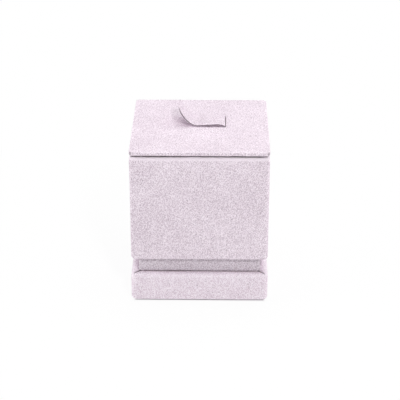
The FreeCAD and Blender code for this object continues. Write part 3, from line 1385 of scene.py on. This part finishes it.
@dataclass
class RingClip:
    """Springy tongue that comes up out of the lid's slit, lies along the lid and curls up at its free end.

    A heading of 0 degrees runs towards -X and one of 90 degrees runs up.
    """

    finishes: Finishes
    thickness: float = 0.8 * MM
    root_radius: float = 0.95 * MM
    root_gap: float = 0.05 * MM
    arch_radius: float = 10.8 * MM
    arch_lean: float = 14.0
    run: float = 6.65 * MM
    run_fall: float = 3.8
    curl_radius: float = 6.0 * MM
    curl_turn: float = 43.8
    tip_radius: float = 15.0 * MM
    tip_turn: float = 31.2
    tip_corner_radius: float = 2.4 * MM
    tip_rear_radius: float = 3.2 * MM
    edge_width: float = 0.3 * MM
    cut_share: float = 0.9
    cut_depth: float = 0.1 * MM
    flex_before: float = 1.0 * MM
    flex_after: float = 3.0 * MM
    smooth_root: float = 4.0 * MM
    ripple_pace: float = 2.0
    edge_fullness: float = 0.6
    least_end: float = 0.02
    across_steps: int = 14
    edge_steps: int = 8
    step: float = 0.35 * MM

    def axis(self) -> Vector:
        """Place of the hinge in the middle of the tongue's width."""
        joint = next(j for j in frame["joints"] if j["child"] == Body.CLIP.value)
        return Vector(joint["pos_m"])

    def path(self) -> list[PathPoint]:
        """Middle line of the strip, from inside the lid to the tip.

        Returns:
            Its points.
        """
        axis = self.axis()
        fall, lean = math.radians(self.run_fall), math.radians(self.arch_lean)
        reach = self.root_gap + self.thickness / 2
        arch_x = axis.x + reach * math.cos(fall) + self.arch_radius * (math.sin(lean) + math.sin(fall))
        arch_z = axis.z + reach * math.sin(fall) - self.arch_radius * (math.cos(fall) - math.cos(lean))
        bend_x = arch_x + self.root_radius * (1 - math.sin(lean))
        bend_z = arch_z - self.root_radius * math.cos(lean)
        start_z = Extent.of("lid_board").low.z + self.thickness / 2
        legs = (
            (bend_z - start_z, 0.0),
            (self.root_radius, self.arch_lean - 90),
            (self.arch_radius, -(self.arch_lean + self.run_fall)),
            (reach + self.run, 0.0),
            (self.curl_radius, self.curl_turn),
            (self.tip_radius, self.tip_turn),
            (self.thickness / 2, 0.0),
        )
        points = [PathPoint(bend_x, start_z, 90.0, 0.0)]
        for size, turn in legs:
            length = size if turn == 0 else size * math.radians(abs(turn))
            steps = max(2, math.ceil(length / self.step))
            for k in range(steps):
                last = points[-1]
                heading = last.heading + turn / steps
                middle = math.radians((last.heading + heading) / 2)
                chord = length / steps
                points.append(PathPoint(
                    last.x - chord * math.cos(middle), last.z + chord * math.sin(middle), heading,
                    last.along + chord,
                ))
        return points

    def outline(self, left: float) -> tuple[float, float, float]:
        """How far the strip's edges draw in near its tip, and how thick it is.

        Args:
            left: length that is left to the tip.

        Returns:
            How far the front edge and the rear edge draw in, and the share of the full thickness.
        """
        drawn_in = [corner - math.sqrt(max(0.0, corner ** 2 - max(0.0, corner - left) ** 2))
                    for corner in (self.tip_corner_radius, self.tip_rear_radius)]
        round_end = max(0.0, 1 - left / (self.thickness / 2))
        return drawn_in[0], drawn_in[1], math.sqrt(max(self.least_end, 1 - round_end ** 2))

    def edge_shade_share(self, left: float) -> float:
        """Share of the dark cut edge that is kept: partly painted shade, it fades out round the tip's
        corners, where the edge faces up into the light.
        """
        return math.sqrt(1 - max(0.0, 1 - left / self.tip_corner_radius) ** 2)

    def strip_section(self, half_width: float, half_thickness: float) -> list[tuple[float, float, float]]:
        """Points round the strip: across and out of its middle plane, with soft edges.

        Args:
            half_width: half the width.
            half_thickness: half the thickness.

        Returns:
            The points, in order round the strip, with how much of the cut edge shows at each.
        """
        flat = half_width - self.edge_width
        points = []
        for side in (1, -1):
            points += [(side * flat * (2 * k / self.across_steps - 1), side * half_thickness, 0.0)
                       for k in range(self.across_steps + 1)]
            for k in range(1, self.edge_steps):
                angle = math.pi * k / self.edge_steps
                cut = max(0.0, 1 - abs(math.cos(angle)) / self.cut_share)
                reach = self.edge_width * math.sin(angle) ** self.edge_fullness - cut * self.cut_depth
                points.append((side * (flat + reach), side * half_thickness * math.cos(angle), cut))
        return points

    def tongue(self) -> bpy.types.Object:
        """Make the covered strip, which is curved where the hinge is.

        Returns:
            The piece.
        """
        extent = Extent.of("clip_cover_tongue")
        middle_y = extent.middle.y
        path = self.path()
        total = path[-1].along
        vertices, faces, cuts = [], [], []
        for point in path:
            left = max(0.0, total - point.along)
            front, rear, share = self.outline(left)
            half_width = extent.half_y - (front + rear) / 2
            heading = math.radians(point.heading)
            out = Vector((math.sin(heading), 0, math.cos(heading)))
            for across, lift, cut in self.strip_section(half_width, share * self.thickness / 2):
                place = Vector((point.x, middle_y + (front - rear) / 2 + across, point.z)) + out * lift
                smooth = min(1.0, point.along / self.smooth_root)
                ripple = HANDWORK.out(place * self.ripple_pace, Seed.TONGUE.value) * smooth
                vertices.append(place + out * ripple)
                # dark raw edge of the strip, partly painted shade: kept where the edge faces away from the
                # light, faded at the tip
                cuts.append(cut * self.edge_shade_share(left))
        count = len(vertices) // len(path)
        for row in range(len(path) - 1):
            for k in range(count):
                after = (k + 1) % count
                low = row * count
                faces.append((low + k, low + after, low + count + after, low + count + k))
        faces.append(tuple(range(count))[::-1])
        faces.append(tuple(range(len(vertices) - count, len(vertices))))
        mesh = bpy.data.meshes.new("ring_tongue")
        mesh.from_pydata(vertices, [], faces)
        mesh.update()
        mark(mesh, "cut", cuts)
        piece = show("ring_tongue", mesh, self.finishes.suede)
        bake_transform(piece)
        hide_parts("clip_cover_root", "clip_cover_tongue")
        LOG.info("%s bends between %s and %s", piece.name, Body.LID.value, Body.CLIP.value)
        return piece

    def build(self) -> list[bpy.types.Object]:
        """Make the tongue and dress the spring inside it."""
        dress_nodes(["clip_spring_tail", "clip_spring_tongue"], self.finishes.steel)
        return [self.tongue()]


@dataclass(frozen=True)
class Lamp:
    """A soft square lamp that points at the middle of the box."""

    name: str
    azimuth: float
    elevation: float
    distance: float
    size: float
    watts: float

    def hang(self, target: Vector) -> bpy.types.Object:
        """Put the lamp in place.

        Args:
            target: what it points at.

        Returns:
            The lamp.
        """
        data = bpy.data.lights.new(self.name, "AREA")
        data.shape = "SQUARE"
        data.size = self.size
        data.energy = self.watts
        lamp = bpy.data.objects.new(self.name, data)
        bpy.context.scene.collection.objects.link(lamp)
        back = direction(self.azimuth, self.elevation)
        lamp.location = target + back * self.distance
        lamp.rotation_mode = "QUATERNION"
        lamp.rotation_quaternion = (-back).to_track_quat("-Z", "Y")
        return lamp


def direction(azimuth: float, elevation: float) -> Vector:
    """Direction from the box to a viewpoint: azimuth 0 is in front, 90 to the right."""
    turn, rise = math.radians(azimuth), math.radians(elevation)
    return Vector((math.sin(turn) * math.cos(rise), -math.cos(turn) * math.cos(rise), math.sin(rise)))


@dataclass
class Studio:
    """Camera at the photograph's viewpoint, soft lamps, a pale floor and a white surround."""

    azimuth: float = 0.77
    elevation: float = 26.07
    distance: float = 607.6 * MM
    focal_px: float = 1337.8
    frame_px: int = 400
    sensor_width: float = 36.0
    clip_start: float = 10 * MM
    aim_height: float = 35.632 * MM
    aim_right: float = -0.144 * MM
    floor_size: float = 6.0
    floor_level: float = -0.03 * MM
    floor_white: float = 0.9
    shadow_reach: float = 0.13
    contact: tuple[float, float] = (28.4 * MM, 29.2 * MM)
    floor_bounce: float = 0.95
    surround: float = 0.2
    lamps: tuple[Lamp, ...] = (
        Lamp("key_lamp", 18.0, 41.0, 0.9, 0.08, 2.75),
        Lamp("top_lamp", 170.0, 76.0, 0.9, 0.8, 5.1),
        Lamp("left_lamp", -85.0, 20.0, 0.9, 0.7, 3.8),
        Lamp("right_lamp", 85.0, 20.0, 0.9, 0.7, 2.7),
    )

    def camera(self) -> bpy.types.Object:
        """Make the camera.

        Returns:
            The camera.
        """
        data = bpy.data.cameras.new("camera")
        data.sensor_width = self.sensor_width
        data.lens = self.focal_px / self.frame_px * data.sensor_width
        data.clip_start = self.clip_start
        camera = bpy.data.objects.new("camera", data)
        bpy.context.scene.collection.objects.link(camera)
        back = direction(self.azimuth, self.elevation)
        turn = math.radians(self.azimuth)
        right = Vector((math.cos(turn), math.sin(turn), 0))
        upward = back.cross(right)
        camera.matrix_world = Matrix((right, upward, back)).transposed().to_4x4()
        camera.location = Vector((0, 0, self.aim_height)) + right * self.aim_right + back * self.distance
        bpy.context.scene.camera = camera
        return camera

    def white_share(self, graph: NodeGraph) -> bpy.types.NodeSocket:
        """Socket that is 1 where the camera sees a surface straight, mirrored or through glass.

        Args:
            graph: nodes of the material or the world.

        Returns:
            The socket.
        """
        light_path = graph.add("ShaderNodeLightPath")
        seen = graph.math("MAXIMUM", light_path.outputs["Is Camera Ray"], light_path.outputs["Is Glossy Ray"])
        return graph.math("MAXIMUM", seen, light_path.outputs["Is Transmission Ray"])

    def floor(self) -> bpy.types.Object:
        """Make the floor: pale, with the box's shadow on it, and white where the camera sees it.

        Returns:
            The floor.
        """
        half = self.floor_size / 2
        mesh = bpy.data.meshes.new("floor")
        corners = [(-half, -half, 0), (half, -half, 0), (half, half, 0), (-half, half, 0)]
        mesh.from_pydata(corners, [], [(0, 1, 2, 3)])
        material, graph, shader = new_material("pale_floor")
        pale = {"Base Color": (0.9, 0.9, 0.9, 1.0), "Roughness": 0.9, "Specular IOR Level": 0.0}
        graph.feed_all(shader, pale)
        glow = graph.add("ShaderNodeEmission")
        mixed = graph.add("ShaderNodeMixShader")
        place = graph.add("ShaderNodeSeparateXYZ")
        graph.feed(place.inputs[0], graph.add("ShaderNodeTexCoord").outputs["Object"])
        across, along = (graph.math("ABSOLUTE", place.outputs[axis]) for axis in ("X", "Y"))
        away = graph.math("MAXIMUM", across, along)
        fade = graph.stretch(away, self.contact[1], self.shadow_reach)
        share = graph.scaled(fade, 1.0 - self.floor_white, self.floor_white)
        clear = graph.scaled(share, graph.stretch(away, *self.contact))
        glowing = graph.math("MAXIMUM", self.white_share(graph), self.floor_bounce)
        graph.feed(mixed.inputs[0], graph.scaled(glowing, clear))
        graph.feed(mixed.inputs[1], shader.outputs[0])
        graph.feed(mixed.inputs[2], glow.outputs[0])
        graph.feed(material.node_tree.nodes["Material Output"].inputs["Surface"], mixed.outputs[0])
        mesh.materials.append(material)
        floor = bpy.data.objects.new("floor", mesh)
        floor.location.z = self.floor_level
        bpy.context.scene.collection.objects.link(floor)
        return floor

    def world(self) -> bpy.types.World:
        """Make the surround: white to the camera, and a soft fill for the box.

        Returns:
            The world.
        """
        world = bpy.data.worlds.new("surround")
        bpy.context.scene.world = world
        world.use_nodes = True
        graph = NodeGraph(world.node_tree)
        background = world.node_tree.nodes["Background"]
        strength = graph.scaled(self.white_share(graph), 1.0 - self.surround, self.surround)
        graph.feed_all(background, {"Color": (1.0, 1.0, 1.0, 1.0), "Strength": strength})
        return world

    def build(self) -> None:
        """Set up the studio."""
        self.world()
        self.floor()
        target = Vector((0, 0, self.aim_height))
        for lamp in self.lamps:
            lamp.hang(target)
        self.camera()
        bpy.context.scene.view_settings.view_transform = "Standard"
        LOG.info("studio with %d lamps", len(self.lamps))


def main() -> None:
    """Build and dress the ring display box and its studio."""
    logging.basicConfig(level=logging.INFO, format="%(name)s: %(message)s")
    finishes = Finishes.make()
    cloth = Cloth()
    pieces = []
    for part in (Plinth(cloth, finishes), Case(cloth, finishes), Lid(cloth, finishes), RingClip(finishes)):
        pieces += part.build()
    for piece in pieces:
        LOG.info("%s has %d faces", piece.name, len(piece.data.polygons))
    Studio().build()


if __name__ == "__main__":
    main()
